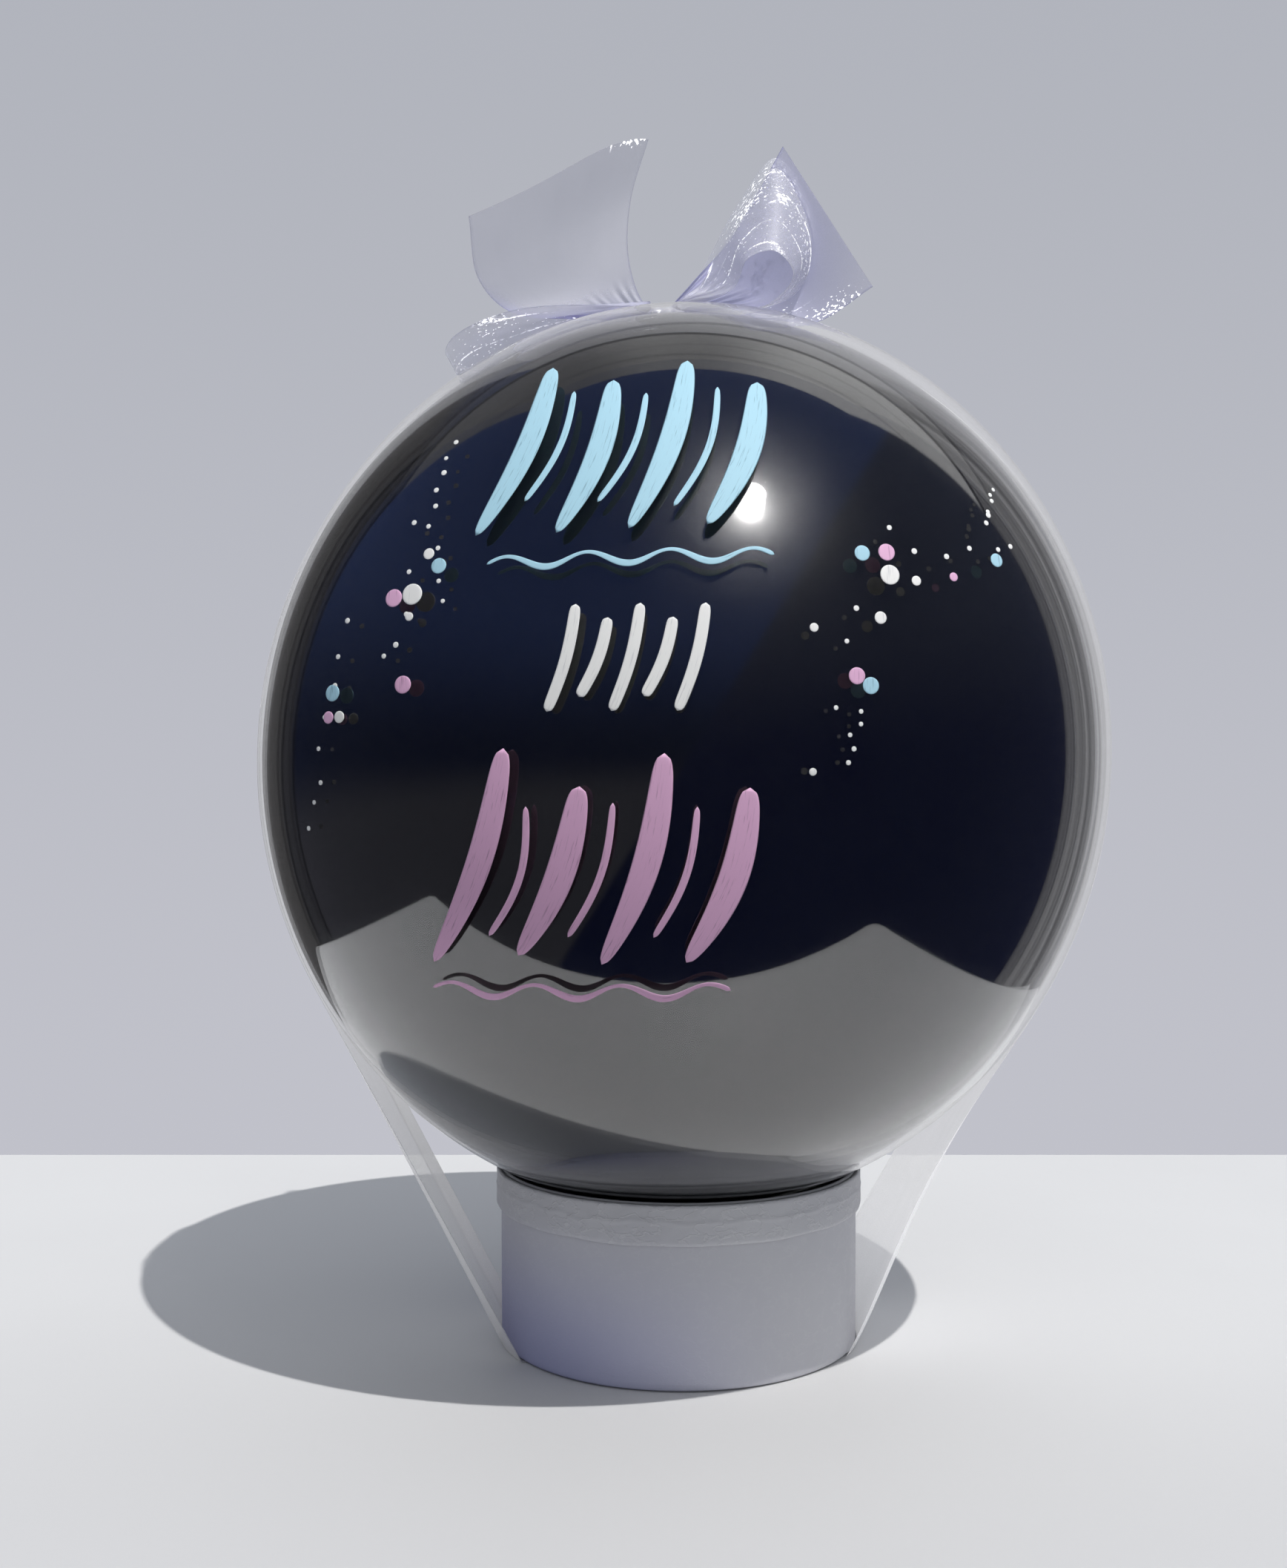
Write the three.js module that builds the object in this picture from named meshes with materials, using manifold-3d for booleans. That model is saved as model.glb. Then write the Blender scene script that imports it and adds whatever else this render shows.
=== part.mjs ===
// A clear film balloon with a dark balloon inside it, standing in the open top of a round gift box.
// One wide sheer ribbon runs under the box, up both sides and over the balloon to a bow on the top.
// Millimetres, +Z up. The origin is on the underside, below the middle of the box. The front faces -Y.
import * as THREE from 'three';
import { mergeVertices } from 'three/addons/utils/BufferGeometryUtils.js';
import Module from 'manifold-3d';

const wasm = await Module();
wasm.setup();

// Driving dimensions
const BOX_DIAMETER = 190;
const BOX_TOP = 92;
const BOARD = 2.4;
const BAND_HEIGHT = 20;
const BAND_BOARD = 2.4;
const BAND_BELOW_TOP = 0.6;
const BALLOON_HALF_WIDTH = 223;
const BALLOON_HALF_HEIGHT = 238;
const BALLOON_LEAN = 0.012;
const RIBBON_WIDTH = 100;
const RIBBON_THICK = 0.8;
const GAP = 0.3;

// Sizes worked out from them
const BOX_RADIUS = BOX_DIAMETER / 2;
const BOX_INNER_RADIUS = BOX_RADIUS - BOARD;
const BOX_BOTTOM = RIBBON_THICK + GAP;
const BAND_INNER_RADIUS = BOX_RADIUS + GAP;
const BAND_TOP = BOX_TOP - BAND_BELOW_TOP;
const REST_RATIO = BOX_INNER_RADIUS / BALLOON_HALF_WIDTH;
const BALLOON_Z = BOX_TOP + 2 * GAP + BALLOON_HALF_HEIGHT * Math.sqrt(1 - REST_RATIO ** 2);
const BALLOON_X = BALLOON_LEAN * (BALLOON_Z - BOX_TOP);

// Ribbon lying on the balloon: clear of its skin, centred a little off the middle on the right
const STRAP_CLEAR = 0.9;
const STRAP_Y_LEFT = -1;
const STRAP_Y_RIGHT = 8;
const KNOT = new THREE.Vector3(-7, 25, 556.5);
const KNOT_HALF_SIZES = new THREE.Vector3(13, 12, 8);
const GATHERED_HALF_WIDTH = 15;

const AROUND = 56;
const RIM_SIDES = 72;

const finish = (color, roughness) => new THREE.MeshStandardMaterial({ color, roughness, metalness: 0 });
const materials = {
  film: finish(0x10121f, 0.05),
  board: finish(0xb9bac4, 0.6),
  band: finish(0xc2c3cc, 0.55),
  organza: finish(0xcfcfe4, 0.45),
};

const mix = (a, b, t) => a + (b - a) * t;
const smooth = (t) => t * t * (3 - 2 * t);

// Indexed geometry from rows of points and triangles of their indices
function indexed(points, triangles) {
  const geometry = new THREE.BufferGeometry();
  const flat = points.flatMap((p) => [p.x, p.y, p.z]);
  geometry.setAttribute('position', new THREE.Float32BufferAttribute(flat, 3));
  geometry.setIndex(triangles);
  return geometry;
}

function turned(profile, sides) {
  const points = profile.map(([r, z]) => new THREE.Vector2(r, z));
  return new THREE.LatheGeometry(points, sides).rotateX(Math.PI / 2);
}

// Balloon: an egg of revolution that leans slightly, its foot dipping into the box
function balloonGeometry() {
  const rings = 26;
  const profile = [];
  for (let i = 0; i <= rings; i += 1) {
    const angle = mix(-Math.PI / 2, Math.PI / 2, i / rings);
    const onAxis = i === 0 || i === rings;
    const radius = onAxis ? 0 : BALLOON_HALF_WIDTH * Math.cos(angle);
    profile.push([radius, BALLOON_HALF_HEIGHT * Math.sin(angle)]);
  }
  const lean = new THREE.Matrix4().set(1, 0, BALLOON_LEAN, 0, 0, 1, 0, 0, 0, 0, 1, 0, 0, 0, 0, 1);
  return turned(profile, AROUND).applyMatrix4(lean).translate(BALLOON_X, 0, BALLOON_Z);
}

// Box: a round cup of board, open at the top
function boxGeometry() {
  const floor = BOX_BOTTOM + BOARD;
  return turned([
    [0, BOX_BOTTOM],
    [BOX_RADIUS, BOX_BOTTOM],
    [BOX_RADIUS, BOX_TOP],
    [BOX_INNER_RADIUS, BOX_TOP],
    [BOX_INNER_RADIUS, floor],
    [0, floor],
  ], RIM_SIDES);
}

// Band: the covered collar round the box's mouth, its lower edge rolled in
function bandGeometry() {
  const outer = BAND_INNER_RADIUS + BAND_BOARD;
  const low = BAND_TOP - BAND_HEIGHT;
  const roll = BAND_BOARD * 0.6;
  const ease = BAND_BOARD * 0.25;
  return turned([
    [BAND_INNER_RADIUS, low],
    [outer - roll, low],
    [outer, low + roll],
    [outer, BAND_TOP - ease],
    [outer - ease, BAND_TOP],
    [BAND_INNER_RADIUS, BAND_TOP],
    [BAND_INNER_RADIUS, low],
  ], RIM_SIDES);
}

// A closed skin between two grids of points, the second one lying on the outside of the first.
// The grids close on themselves along their rows where round is true.
function skinned(inner, outer, round) {
  const rows = inner.length;
  const columns = inner[0].length;
  const points = [...inner.flat(), ...outer.flat()];
  const triangles = [];
  const lift = rows * columns;
  const at = (i, j, layer) => layer * lift + (i % rows) * columns + j;
  const quad = (a, b, c, d) => triangles.push(a, b, c, a, c, d);
  const spans = round ? rows : rows - 1;
  for (let i = 0; i < spans; i += 1) {
    for (let j = 0; j < columns - 1; j += 1) {
      quad(at(i, j, 0), at(i, j + 1, 0), at(i + 1, j + 1, 0), at(i + 1, j, 0));
      quad(at(i, j, 1), at(i + 1, j, 1), at(i + 1, j + 1, 1), at(i, j + 1, 1));
    }
    quad(at(i, 0, 0), at(i + 1, 0, 0), at(i + 1, 0, 1), at(i, 0, 1));
    const last = columns - 1;
    quad(at(i, last, 0), at(i, last, 1), at(i + 1, last, 1), at(i + 1, last, 0));
  }
  if (!round) {
    for (let j = 0; j < columns - 1; j += 1) {
      quad(at(0, j, 0), at(0, j, 1), at(0, j + 1, 1), at(0, j + 1, 0));
      const end = rows - 1;
      quad(at(end, j, 0), at(end, j + 1, 0), at(end, j + 1, 1), at(end, j, 1));
    }
  }
  return indexed(points, triangles);
}

// Point of the ribbon that lies on the balloon, at an angle up from the right, a depth
// and a lift off the skin
function onBalloon(angle, y, lift) {
  const width = BALLOON_HALF_WIDTH + lift;
  const height = BALLOON_HALF_HEIGHT + lift;
  const shrink = Math.sqrt(1 - (y / width) ** 2);
  const rise = height * shrink * Math.sin(angle);
  const x = BALLOON_X + BALLOON_LEAN * rise + width * shrink * Math.cos(angle);
  return new THREE.Vector3(x, y, BALLOON_Z + rise);
}

// Angle at which a straight run from a point at the box's foot meets the balloon's section
// at that depth
function tangentAngle(foot, lift) {
  const width = BALLOON_HALF_WIDTH + lift;
  const height = BALLOON_HALF_HEIGHT + lift;
  const shrink = Math.sqrt(1 - (foot.y / width) ** 2);
  const drop = foot.z - BALLOON_Z;
  const u = (foot.x - BALLOON_X - BALLOON_LEAN * drop) / (width * shrink);
  const v = drop / (height * shrink);
  const turn = Math.acos(1 / Math.hypot(u, v));
  return Math.atan2(v, u) + (foot.x < 0 ? -turn : turn);
}

// One line of the strap round box and balloon; across runs from -1 at the front edge to 1
// at the back edge
function strapLine(across, lift) {
  const spanSteps = 6;
  const arcSteps = 46;
  const baseSteps = 6;
  const out = lift - STRAP_CLEAR;
  const reach = BOX_RADIUS + 2 * GAP + out;
  const footZ = RIBBON_THICK - out;
  const foot = (side, middle) => {
    const y = middle + across * RIBBON_WIDTH / 2;
    return new THREE.Vector3(side * Math.sqrt(reach ** 2 - y ** 2), y, footZ);
  };
  const left = foot(-1, STRAP_Y_LEFT);
  const right = foot(1, STRAP_Y_RIGHT);
  const startAngle = tangentAngle(left, lift) + 2 * Math.PI;
  const endAngle = tangentAngle(right, lift);
  const knotY = KNOT.y + across * GATHERED_HALF_WIDTH;
  const arc = (t) => {
    const angle = mix(startAngle, endAngle, t);
    const spanY = t < 0.5 ? left.y : right.y;
    const toKnot = smooth(1 - Math.abs(2 * t - 1));
    return onBalloon(angle, mix(spanY, knotY, toKnot), lift);
  };
  const line = [];
  for (let i = 0; i < spanSteps; i += 1) line.push(left.clone().lerp(arc(0), i / spanSteps));
  for (let i = 0; i < arcSteps; i += 1) line.push(arc(i / arcSteps));
  for (let i = 0; i < spanSteps; i += 1) line.push(arc(1).lerp(right, i / spanSteps));
  for (let i = 0; i < baseSteps; i += 1) line.push(right.clone().lerp(left, i / baseSteps));
  return line;
}

function strapGeometry() {
  const columns = 7;
  const layer = (lift) => {
    const lines = [];
    for (let j = 0; j < columns; j += 1) lines.push(strapLine(mix(-1, 1, j / (columns - 1)), lift));
    return lines[0].map((_, i) => lines.map((line) => line[i]));
  };
  return skinned(layer(STRAP_CLEAR), layer(STRAP_CLEAR + RIBBON_THICK), true);
}

// A length of ribbon between its two edges, each a smooth curve through a few points, crowned across
function ribbonLength({ edges, steps, columns, crown }) {
  const [first, second] = edges.map((edge) => {
    return new THREE.CatmullRomCurve3(edge.map((p) => new THREE.Vector3(...p)));
  });
  const middle = (i, j) => {
    const u = i / steps;
    const v = j / (columns - 1);
    return first.getPoint(u).lerp(second.getPoint(u), v);
  };
  const grid = [];
  for (let i = 0; i <= steps; i += 1) {
    grid.push(Array.from({ length: columns }, (_, j) => middle(i, j)));
  }
  const normals = grid.map((row, i) => row.map((_, j) => {
    const along = grid[Math.min(i + 1, steps)][j].clone().sub(grid[Math.max(i - 1, 0)][j]);
    const acrossRow = row[Math.min(j + 1, columns - 1)].clone().sub(row[Math.max(j - 1, 0)]);
    return along.cross(acrossRow).normalize();
  }));
  const shifted = (side) => grid.map((row, i) => row.map((p, j) => {
    const v = j / (columns - 1);
    const hump = crown * 4 * v * (1 - v) * Math.sin(Math.PI * i / steps);
    return p.clone().addScaledVector(normals[i][j], hump + side * RIBBON_THICK * 0.75);
  }));
  return skinned(shifted(-1), shifted(1), false);
}

// The bow's four lengths, each given by its two edges from the knot outwards; the loops come back to it
const BOW_LENGTHS = {
  leftTail: {
    edges: [
      [[-12, 20, 555], [-54, 19, 552], [-92, 19, 555], [-109, 13, 571], [-114, 8, 604]],
      [[-8, 28, 559], [-18, 31, 563], [-27, 38, 590], [-26, 42, 624], [-17, 40, 655]],
    ],
    steps: 14,
    columns: 6,
    crown: 4,
  },
  leftLoop: {
    edges: [
      [
        [-15, 17, 559], [-91, 6, 552], [-124, 12, 538], [-127, 15, 530],
        [-112, 16, 523], [-55, 18, 543], [-15, 19, 552],
      ],
      [
        [-15, 31, 559], [-84, 88, 530], [-116, 98, 513], [-119, 99, 505],
        [-104, 97, 500], [-52, 62, 533], [-15, 31, 552],
      ],
    ],
    steps: 22,
    columns: 6,
    crown: 2,
  },
  rightLoop: {
    edges: [
      [
        [1, 18, 559], [30, 1, 563], [37, -4, 577], [52, -5, 581],
        [62, 0, 570], [50, 5, 556], [1, 19, 552],
      ],
      [
        [1, 31, 560], [13, 58, 586], [37, 66, 632], [58, 66, 657],
        [80, 70, 625], [77, 64, 584], [1, 32, 552],
      ],
    ],
    steps: 22,
    columns: 6,
    crown: 3,
  },
  rightTail: {
    edges: [
      [[-4, 29, 560], [12, 44, 582], [31, 52, 606], [61, 56, 660]],
      [[2, 22, 556], [40, 32, 553], [77, 34, 553], [109, 30, 572]],
    ],
    steps: 12,
    columns: 6,
    crown: 4,
  },
};

function toSolid(geometry) {
  const plain = geometry.clone();
  plain.deleteAttribute('normal');
  plain.deleteAttribute('uv');
  const merged = mergeVertices(plain, 1e-4);
  const vertProperties = new Float32Array(merged.attributes.position.array);
  const triVerts = new Uint32Array(merged.index.array);
  return new wasm.Manifold(new wasm.Mesh({ numProp: 3, vertProperties, triVerts }));
}

function fromSolid(solid) {
  const { vertProperties, triVerts } = solid.getMesh();
  const geometry = new THREE.BufferGeometry();
  geometry.setAttribute('position', new THREE.Float32BufferAttribute(vertProperties, 3));
  geometry.setIndex(Array.from(triVerts));
  return geometry;
}

function bowGeometry() {
  const ball = new THREE.SphereGeometry(1, 20, 12);
  const knot = ball.scale(...KNOT_HALF_SIZES.toArray()).translate(...KNOT.toArray());
  let bow = toSolid(knot);
  for (const length of Object.values(BOW_LENGTHS)) bow = bow.add(toSolid(ribbonLength(length)));
  return fromSolid(bow);
}

function piece(name, geometry, material) {
  geometry.deleteAttribute('uv');
  geometry.deleteAttribute('normal');
  const closed = mergeVertices(geometry, 1e-4);
  closed.computeVertexNormals();
  const mesh = new THREE.Mesh(closed, material);
  mesh.name = name;
  return mesh;
}

const group = new THREE.Group();
group.name = 'balloon_in_gift_box';
group.add(piece('balloon', balloonGeometry(), materials.film));
group.add(piece('gift_box', boxGeometry(), materials.board));
group.add(piece('box_rim_band', bandGeometry(), materials.band));
group.add(piece('ribbon_strap', strapGeometry(), materials.organza));
group.add(piece('ribbon_bow', bowGeometry(), materials.organza));

export default group;
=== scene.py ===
# %% [markdown]
# # A bubble balloon in a gift box
# A clear film bubble holds a dark glossy balloon, and three rows of brush strokes and a scatter
# of dots are painted on the film. It stands in a round paper-covered box, and one wide organza
# ribbon goes under the box, up both sides and over the balloon to a bow.
# The frame gives the solids that the pieces below have to follow, so it is loaded first.

# %% Load the frame
import math

import bpy
import numpy as np
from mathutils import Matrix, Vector


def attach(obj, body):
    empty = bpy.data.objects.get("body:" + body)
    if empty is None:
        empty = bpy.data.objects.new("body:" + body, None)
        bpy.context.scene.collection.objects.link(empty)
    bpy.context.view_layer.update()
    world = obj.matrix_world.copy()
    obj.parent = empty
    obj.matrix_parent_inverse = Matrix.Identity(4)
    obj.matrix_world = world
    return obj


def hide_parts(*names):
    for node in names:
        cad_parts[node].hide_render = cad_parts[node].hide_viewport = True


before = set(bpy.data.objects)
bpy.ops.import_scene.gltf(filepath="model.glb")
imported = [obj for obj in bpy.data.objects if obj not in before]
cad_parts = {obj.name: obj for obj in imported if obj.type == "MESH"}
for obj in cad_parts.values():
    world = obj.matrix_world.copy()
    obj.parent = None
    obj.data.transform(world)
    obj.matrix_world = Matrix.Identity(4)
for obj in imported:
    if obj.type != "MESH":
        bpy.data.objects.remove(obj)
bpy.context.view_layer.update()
scene = bpy.context.scene
MM = 0.001
print("solids in the frame:", sorted(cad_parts))

# %% [markdown]
# ## Camera
# The box's rim and foot are circles, and how flat their ellipses look gives the camera's height
# and distance. It looks level along +Y from a little left of the middle, just below the balloon's
# widest part, so both the top of the bubble and the floor under it are seen at a slant.

# %% Camera
PICTURE_HEIGHT = 2115
FOCAL_IN_PIXELS = 2300
SENSOR = 36.0
CAMERA_PLACE = (-0.0188, -0.920, 0.295)

camera_data = bpy.data.cameras.new("camera")
camera_data.sensor_width = SENSOR
camera_data.lens = SENSOR * FOCAL_IN_PIXELS / PICTURE_HEIGHT
camera = bpy.data.objects.new("camera", camera_data)
camera.location = CAMERA_PLACE
camera.rotation_euler = (math.pi / 2, 0, 0)
scene.collection.objects.link(camera)
scene.camera = camera
print("camera lens, mm:", round(camera_data.lens, 2))

# %% [markdown]
# ## From a grid of points to a piece
# Every piece is a grid of points worked out with numpy. Two small functions number the faces of
# such a grid: an open or round sheet, and a tube whose two ends close in one point each, which
# serves for a ball, a cup and a brush stroke alike.

# %% Faces of a grid
def grid_faces(rows, columns, round_rows=False, round_columns=False, start=0):
    """Each point is joined to the next in its row, the one above that and the one above itself.
    A round direction joins its last line to its first."""
    i = np.arange(rows if round_rows else rows - 1)[:, None]
    j = np.arange(columns if round_columns else columns - 1)[None, :]
    up, right = (i + 1) % rows, (j + 1) % columns
    corners = (i * columns + j, i * columns + right, up * columns + right, up * columns + j)
    return (start + np.stack(np.broadcast_arrays(*corners), -1).reshape(-1, 4)).tolist()


def tube_faces(rows, columns, start=0):
    """Rings joined in order, then a fan from each end ring to one point; the two end points are
    numbered after the rings."""
    j = np.arange(columns)
    right = (j + 1) % columns
    first, last = rows * columns, rows * columns + 1
    ring = (rows - 1) * columns
    low = start + np.stack([np.full(columns, first), right, j], -1)
    high = start + np.stack([np.full(columns, last), ring + j, ring + right], -1)
    return grid_faces(rows, columns, round_columns=True, start=start) + low.tolist() + high.tolist()


def closed_tube(rings):
    """The points of a tube of rings with the middle of its first and last ring as end points."""
    ends = np.stack([rings[0].mean(0), rings[-1].mean(0)])
    return np.concatenate([rings.reshape(-1, 3), ends])


# %% Make a piece
def new_thing(name, points, faces, material):
    """A mesh object from points in millimetres."""
    mesh = bpy.data.meshes.new(name)
    mesh.from_pydata((points.reshape(-1, 3) * MM).tolist(), [], faces)
    mesh.materials.append(material)
    thing = bpy.data.objects.new(name, mesh)
    scene.collection.objects.link(thing)
    return thing


def make_piece(name, points, faces, material, uv=None, marks=None):
    """A smooth-shaded piece of the object, riding on the one body of the frame. uv and marks hold one
    value for each point."""
    piece = new_thing(name, points, faces, material)
    mesh = piece.data
    mesh.polygons.foreach_set("use_smooth", np.ones(len(mesh.polygons), bool))
    if uv is not None:
        corner_points = np.empty(len(mesh.loops), np.int32)
        mesh.loops.foreach_get("vertex_index", corner_points)
        layer = mesh.uv_layers.new(name="flat")
        layer.data.foreach_set("uv", uv.reshape(-1, 2)[corner_points].ravel())
    for mark, values in (marks or {}).items():
        attribute = mesh.attributes.new(mark, "FLOAT", "POINT")
        attribute.data.foreach_set("value", values.astype(np.float32).ravel())
    mesh.update()
    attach(piece, "root")
    print(f"{name}: {len(mesh.vertices)} points, {len(mesh.polygons)} faces")
    return piece


# %% [markdown]
# ## Shader maths in Python
# A material is a graph of nodes. Wrapping one output socket in a small class lets sums and
# products of patterns be written as Python expressions, and one method makes every other node.

# %% Wire: one socket with operators
class Wire:
    """One output socket of a shader; arithmetic on it adds Math nodes."""

    def __init__(self, tree, socket=None):
        self.tree = tree
        self.socket = socket

    def node(self, kind, settings=(), sockets=(), out=0):
        """Adds a node, sets its settings, then fills its sockets with values or links."""
        made = self.tree.nodes.new(kind)
        for name, value in dict(settings).items():
            setattr(made, name, value)
        for name, value in dict(sockets).items():
            if isinstance(value, Wire):
                self.tree.links.new(value.socket, made.inputs[name])
            else:
                made.inputs[name].default_value = value
        return Wire(self.tree, made.outputs[out])

    def maths(self, operation, first, second=0.0):
        return self.node("ShaderNodeMath", {"operation": operation}, {0: first, 1: second})

    def __add__(self, other):
        return self.maths("ADD", self, other)

    def __sub__(self, other):
        return self.maths("SUBTRACT", self, other)

    def __rsub__(self, other):
        return self.maths("SUBTRACT", other, self)

    def __mul__(self, other):
        return self.maths("MULTIPLY", self, other)

    __radd__ = __add__
    __rmul__ = __mul__

    def ramp(self, low, high):
        """0 below low, 1 above high and a smooth rise between; low may be the larger."""
        limits = {"Value": self, "From Min": low, "From Max": high}
        return self.node("ShaderNodeMapRange", {"interpolation_type": "SMOOTHSTEP"}, limits)

    def tint(self, none, full):
        """A colour that goes from none, where this value is 0, to full, where it is 1."""
        return self.node("ShaderNodeMix", {"data_type": "RGBA"}, {0: self, 6: none, 7: full}, 2)

    def noise(self, scale, detail=2.0, rough=0.5):
        """Cloudy values from 0 to 1 on this wire's coordinates."""
        return self.node("ShaderNodeTexNoise", (), {
            "Vector": self, "Scale": scale, "Detail": detail, "Roughness": rough})

    def stretched(self, scale):
        """These coordinates multiplied on each axis."""
        return self.node("ShaderNodeMapping", (), {"Vector": self, "Scale": scale})

    def part(self, axis):
        """The X, Y or Z of these coordinates."""
        return self.node("ShaderNodeSeparateXYZ", (), {0: self}, axis)


def rgb(red, green, blue):
    return (red, green, blue, 1.0)


# %% New material
def new_material(name, **plain):
    """A Principled material with plain values on its sockets; returns it with its wire and shader."""
    material = bpy.data.materials.new(name)
    material.use_nodes = True
    shader = material.node_tree.nodes["Principled BSDF"]
    for socket, value in plain.items():
        shader.inputs[socket.replace("_", " ")].default_value = value
    return material, Wire(material.node_tree), shader


def feed(shader, **wires):
    """Links varying values to the shader's sockets."""
    for socket, wire in wires.items():
        wire.tree.links.new(wire.socket, shader.inputs[socket.replace("_", " ")])


def object_place(wire):
    return wire.node("ShaderNodeTexCoord", out="Object")


def flat_place(wire):
    return wire.node("ShaderNodeUVMap", {"uv_map": "flat"})


def bumped(height, distance, strength):
    """A normal that tilts with a height pattern; distance is the relief's depth in metres."""
    return height.node("ShaderNodeBump", (), {
        "Strength": strength, "Distance": distance, "Height": height})


# %% [markdown]
# ## The bubble's film
# The real bubble is a stretched clear film, thin as a bag, blown to a slightly tall ball that
# leans a little. A solid glass ball would bend the view of what is inside, so the film is a shell
# with an outer and an inner wall a fraction of a millimetre apart. Plain transmission makes it clear,
# and a low index keeps its own mirror image weak except along its rim.

# %% Sizes shared with the frame, in millimetres
BOX_RADIUS = 95.0
BOX_TOP = 92.0
BOARD = 2.4
BAND_HEIGHT = 20.0
BAND_BOARD = 2.4
GAP = 0.3
HALF_WIDTH = 223.0
HALF_HEIGHT = 238.0
LEAN = 0.012
REST_RADIUS = BOX_RADIUS - BOARD
MIDDLE_Z = BOX_TOP + 2 * GAP + HALF_HEIGHT * math.sqrt(1 - (REST_RADIUS / HALF_WIDTH) ** 2)
MIDDLE_X = LEAN * (MIDDLE_Z - BOX_TOP)
print("balloon's middle, mm:", round(MIDDLE_X, 1), round(MIDDLE_Z, 1))


# %% Balloon surface
def full_turn(count):
    """Equal steps of angle once round."""
    return np.arange(count) * 2 * math.pi / count


def leaning_egg(half_width, half_height, rows, columns, shift=(0, 0, 0)):
    """Rings of an egg of revolution: the ring at latitude f has radius half_width cos f and height
    half_height sin f, and is pushed sideways by the lean times that height."""
    latitude = np.linspace(-90, 90, rows + 2)[1:-1, None] * math.pi / 180
    around = full_turn(columns)[None]
    rise = half_height * np.sin(latitude) + 0 * around
    x = MIDDLE_X + LEAN * rise + half_width * np.cos(latitude) * np.cos(around)
    y = half_width * np.cos(latitude) * np.sin(around)
    return np.stack([x, y, MIDDLE_Z + rise], -1) + np.array(shift)


FILM_THICK = 0.15
FILM_GRID = (150, 256)
outer_wall = closed_tube(leaning_egg(HALF_WIDTH, HALF_HEIGHT, *FILM_GRID))
inner_wall = closed_tube(leaning_egg(HALF_WIDTH - FILM_THICK, HALF_HEIGHT - FILM_THICK, *FILM_GRID))
outer_faces = tube_faces(*FILM_GRID)
inner_faces = [face[::-1] for face in tube_faces(*FILM_GRID, start=len(outer_wall))]

film_finish, _, _ = new_material(
    "clear_film", Base_Color=rgb(1, 1, 1), Roughness=0.0, IOR=1.13, Transmission_Weight=1.0)
film = make_piece("balloon_film", np.concatenate([outer_wall, inner_wall]),
                  outer_faces + inner_faces, film_finish)
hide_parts("balloon")

# %% [markdown]
# ## The dark balloon inside
# The balloon sealed in the film is black latex with a blue cast. It is smaller, and sits a little
# low, to the left and back, so that the clear gap is widest above, at the right and in front, where
# the paint throws its shadow across it. Polished latex is the mirror that shows the studio, so its
# base has a high index and hardly any roughness. A thin rough coat over it gives the broad soft gleam
# round the highlight, as dust and handling do on the real one.

# %% Inner balloon
INNER_HALF_WIDTH = 219.6
INNER_HALF_HEIGHT = 235.0
INNER_SHIFT = (-1.5, 2.1, -1.6)
INNER_GRID = (110, 192)

latex, wire, shader = new_material(
    "dark_latex", IOR=2.32, Coat_Weight=0.31, Coat_Roughness=0.255)
cloud = object_place(wire).noise(9.0, 3.0).ramp(0.3, 0.7)
feed(shader, Base_Color=cloud.tint(rgb(0.0006, 0.0008, 0.002), rgb(0.0012, 0.0016, 0.0035)),
     Roughness=0.035 + 0.015 * object_place(wire).noise(35.0))
inner_rings = leaning_egg(INNER_HALF_WIDTH, INNER_HALF_HEIGHT, *INNER_GRID, INNER_SHIFT)
make_piece("inner_balloon", closed_tube(inner_rings), tube_faces(*INNER_GRID), latex)

# %% [markdown]
# ## Paint on the film
# The marks are thick paint pen on the film: a raised skin that is round at its edges. Each mark is
# a lens-shaped section carried along a line that is drawn on the balloon's front, as seen from
# straight ahead, and then lifted on to the film. A dot is the same thing with a round outline.
# The paint is opaque, with the streaks of the pen along each stroke.

# %% A mark on the film
PAINT_THICK = 0.16
PAINT_CLEAR = 0.06
PAINT_RING = 14
PAINT_STEEP = 1.6
FULL_PAINT_WIDTH = 3.0
STREAK_SHIFT = 37.0


def on_film(x, z, lift):
    """The front of the film at x and z: the egg's equation solved for y, with both half sizes
    grown by the lift."""
    width, height = HALF_WIDTH + lift, HALF_HEIGHT + lift
    across = (x - MIDDLE_X - LEAN * (z - MIDDLE_Z)) / width
    return np.stack([x, -width * np.sqrt(1 - across ** 2 - ((z - MIDDLE_Z) / height) ** 2), z], -1)


def paint_mark(line, width):
    """Rings of a mark: at each point of the line, a section across it whose half width is width / 2
    times a cosine and whose height is a sine that is cut off at the paint's thickness, so that the
    mark is flat on top and underneath and round at its sides."""
    along = np.gradient(line, axis=0)
    along /= np.linalg.norm(along, axis=1, keepdims=True)
    turn = full_turn(PAINT_RING)
    across = np.stack([-along[:, 1], along[:, 0]], -1)[:, None] * np.cos(turn)[None, :, None]
    flat = line[:, None] + across * width[:, None, None] / 2
    swell = np.minimum(1, width / FULL_PAINT_WIDTH)[:, None]
    lift = PAINT_CLEAR + PAINT_THICK * swell * np.clip(PAINT_STEEP * np.sin(turn), 0, 1)[None]
    return on_film(flat[..., 0], flat[..., 1], lift)


def mark_uv(line, width, seed):
    """Distance along the mark and distance across it in millimetres, shifted by the mark's seed."""
    steps = np.linalg.norm(np.diff(line, axis=0), axis=1)
    along = np.concatenate([[0], np.cumsum(steps)])[:, None]
    turn = full_turn(PAINT_RING)
    across = np.cos(turn)[None] * width[:, None] / 2
    return np.stack(np.broadcast_arrays(along, across + STREAK_SHIFT * seed), -1)


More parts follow.
